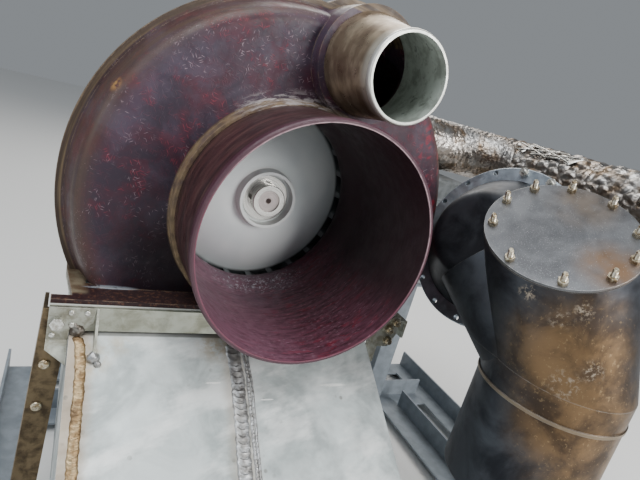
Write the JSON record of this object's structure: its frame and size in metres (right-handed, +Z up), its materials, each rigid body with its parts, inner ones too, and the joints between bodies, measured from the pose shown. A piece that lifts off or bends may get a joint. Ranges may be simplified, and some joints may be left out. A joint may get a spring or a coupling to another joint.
{
  "type": "auxiliary power unit",
  "caption": "Cooling-fan end of an auxiliary power unit on a stand: bladed wheel in a moulded scroll, welded duct, plenum with bolted oval cover, gearbox and wrapped bleed pipe.",
  "frame": {"origin": "on the floor, under the middle of the stand", "axes": "+Z up, +Y along the fan axis from the inlet mouth into the unit, +X to the right of someone facing the inlet"},
  "size_m": [0.65, 0.48, 0.5435],
  "materials": {
    "casing_moulding": "glossy chopped-fibre moulding, maroon with red and pale flecks",
    "spout_steel": "heat-tinted stainless sheet",
    "wheel_alloy": "satin machined alloy",
    "bright_steel": "turned steel",
    "bearing_steel": "ground bearing steel",
    "seal_rubber": "black nitrile",
    "cartridge_alloy": "machined alloy",
    "fasteners": "plated steel, some gone yellow",
    "duct_steel": "dull pale sheet with cloudy oxide",
    "flange_alloy": "worn silver sheet",
    "weld_metal": "rippled weld, straw tinted",
    "bracket_alloy": "dull sheet alloy",
    "leg_bronze": "brown worn coating",
    "ring_alloy": "pale blue-grey satin",
    "plenum_steel": "dark heat-tinted sheet",
    "cover_steel": "gunmetal sheet",
    "gasket": "dark gasket",
    "core_steel": "heat-darkened steel",
    "gearbox_alloy": "cast alloy",
    "pipe_steel": "stainless tube",
    "foil_wrap": "crinkled foil blanket",
    "clamp_steel": "bright strip",
    "stand_paint": "blue-grey paint",
    "foot_rubber": "black rubber"
  },
  "bodies": {
    "frame": {"inlet_mouth": "casing_moulding", "front_shell": "casing_moulding", "rear_shell": "casing_moulding", "take_off_spout": "spout_steel", "bearing_outer_rings": "bearing_steel", "bearing_balls": "bearing_steel", "bearing_circlip": "bearing_steel", "shaft_seal": "seal_rubber", "bearing_cartridge": "cartridge_alloy", "rim_screws": "fasteners", "cartridge_screws": "fasteners", "neck_bolts": "fasteners", "bracket_rivets": "fasteners", "bracket_bolt": "fasteners", "leg_bolts": "fasteners", "right_bolts": "fasteners", "ring_bolts": "fasteners", "cover_studs": "fasteners", "cover_nuts": "fasteners", "clamp_bolt": "fasteners", "gearbox_screws": "fasteners", "discharge_duct": "duct_steel", "duct_flange": "flange_alloy", "weld_beads": "weld_metal", "left_bracket": "bracket_alloy", "left_gusset": "bracket_alloy", "right_bracket": "bracket_alloy", "right_strut": "bracket_alloy", "front_left_leg": "leg_bronze", "right_leg": "leg_bronze", "ring_flange": "ring_alloy", "plenum_body": "plenum_steel", "intake_duct": "plenum_steel", "oval_cover": "cover_steel", "cover_gasket": "gasket", "compressor_casing": "core_steel", "gearbox_housing": "gearbox_alloy", "gearbox_cover": "gearbox_alloy", "port_block": "gearbox_alloy", "bleed_pipe": "pipe_steel", "pipe_wrap": "foil_wrap", "pipe_clamp": "clamp_steel", "left_rail": "stand_paint", "right_rail": "stand_paint", "front_rail": "stand_paint", "middle_rail": "stand_paint", "rear_rail": "stand_paint", "leg_rail": "stand_paint", "left_middle_post": "stand_paint", "right_middle_post": "stand_paint", "left_rear_post": "stand_paint", "right_rear_post": "stand_paint", "foot_pads": "foot_rubber"},
    "rotor": {"impeller": "wheel_alloy", "impeller_nut": "bright_steel", "impeller_washer": "bright_steel", "fan_shaft": "bright_steel", "front_sleeve": "bright_steel", "bearing_spacer": "bright_steel", "bearing_inner_rings": "bearing_steel"}
  },
  "joints": [
    {"name": "fan_spin", "type": "hinge", "parent": "frame", "child": "rotor", "pos_m": [-0.1, 0.1, 0.34], "axis": [0, 1, 0], "continuous": true}
  ]
}
